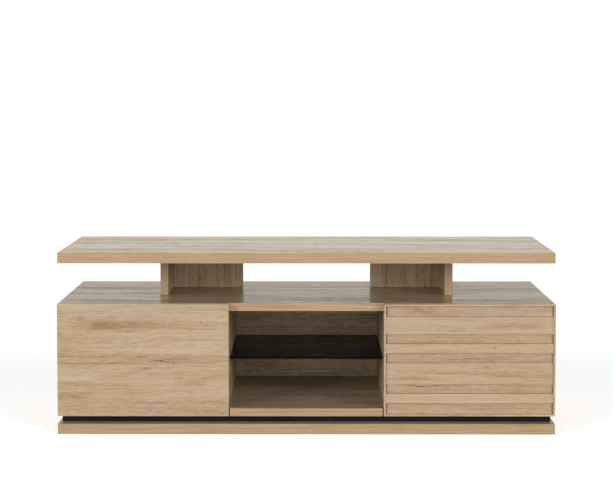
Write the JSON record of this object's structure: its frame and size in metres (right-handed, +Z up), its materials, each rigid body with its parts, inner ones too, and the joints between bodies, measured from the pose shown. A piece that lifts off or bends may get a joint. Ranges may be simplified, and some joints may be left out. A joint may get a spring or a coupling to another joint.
{
  "type": "tv stand",
  "caption": "Long low TV stand in light oak decor: two hinged doors beside an open bay with a dark glass shelf, and a raised television shelf on L-shaped supports.",
  "frame": {"origin": "centre of the stand's footprint, at floor level", "axes": "+X to the right as seen from the front, -Y towards the front (the doors), +Z up"},
  "size_m": [1.55, 0.45, 0.567],
  "materials": {
    "oak_decor": "matt melamine, light oak grain",
    "black_board": "matt black melamine",
    "smoked_glass": "polished, dark tint",
    "nickel": "nickel plated steel, satin",
    "grey_plastic": "moulded, satin"
  },
  "bodies": {
    "carcass": {"base_board": "oak_decor", "front_recess_rail": "black_board", "rear_recess_rail": "black_board", "cabinet_bottom": "oak_decor", "cabinet_top": "oak_decor", "tv_shelf": "oak_decor", "bay_back_panel": "oak_decor", "glass_shelf": "smoked_glass", "left_side": "oak_decor", "left_upright": "oak_decor", "left_back_panel": "oak_decor", "left_inner_shelf": "oak_decor", "left_recess_rail": "black_board", "left_support_side": "oak_decor", "left_support_back": "oak_decor", "left_front_peg": "nickel", "left_rear_peg": "nickel", "left_latch_housing": "grey_plastic", "left_upper_hinge_arm": "nickel", "left_upper_hinge_plate": "nickel", "left_lower_hinge_arm": "nickel", "left_lower_hinge_plate": "nickel", "right_side": "oak_decor", "right_upright": "oak_decor", "right_back_panel": "oak_decor", "right_inner_shelf": "oak_decor", "right_recess_rail": "black_board", "right_support_side": "oak_decor", "right_support_back": "oak_decor", "right_front_peg": "nickel", "right_rear_peg": "nickel", "right_latch_housing": "grey_plastic", "right_upper_hinge_arm": "nickel", "right_upper_hinge_plate": "nickel", "right_lower_hinge_arm": "nickel", "right_lower_hinge_plate": "nickel"},
    "left_door": {"left_door": "oak_decor", "left_upper_hinge_cup": "nickel", "left_upper_hinge_pin": "nickel", "left_lower_hinge_cup": "nickel", "left_lower_hinge_pin": "nickel", "left_latch_strike": "nickel"},
    "right_door": {"right_door_panel": "oak_decor", "right_door_lip": "oak_decor", "right_door_plank_1": "oak_decor", "right_door_plank_2": "oak_decor", "right_door_plank_3": "oak_decor", "right_door_plank_4": "oak_decor", "right_door_plank_5": "oak_decor", "right_door_plank_6": "oak_decor", "right_door_plank_7": "oak_decor", "right_door_plank_8": "oak_decor", "right_door_plank_9": "oak_decor", "right_upper_hinge_cup": "nickel", "right_upper_hinge_pin": "nickel", "right_lower_hinge_cup": "nickel", "right_lower_hinge_pin": "nickel", "right_latch_strike": "nickel"},
    "left_plunger": {"left_latch_plunger": "grey_plastic"},
    "right_plunger": {"right_latch_plunger": "grey_plastic"}
  },
  "joints": [
    {"name": "left_door_hinge", "type": "hinge", "parent": "carcass", "child": "left_door", "pos_m": [-0.76775, -0.2116, 0.2325], "axis": [0, 0, -1], "range_deg": [0, 95]},
    {"name": "right_door_hinge", "type": "hinge", "parent": "carcass", "child": "right_door", "pos_m": [0.76775, -0.2116, 0.2325], "axis": [0, 0, 1], "range_deg": [0, 95]},
    {"name": "left_plunger_slide", "type": "slide", "parent": "carcass", "child": "left_plunger", "axis": [0, -1, 0], "range_m": [0, 0.014]},
    {"name": "right_plunger_slide", "type": "slide", "parent": "carcass", "child": "right_plunger", "axis": [0, -1, 0], "range_m": [0, 0.014]}
  ],
  "couplings": [
    {"joint": "left_plunger_slide", "follows": "left_door_hinge", "m_per_rad": 0.0084},
    {"joint": "right_plunger_slide", "follows": "right_door_hinge", "m_per_rad": 0.0084}
  ]
}
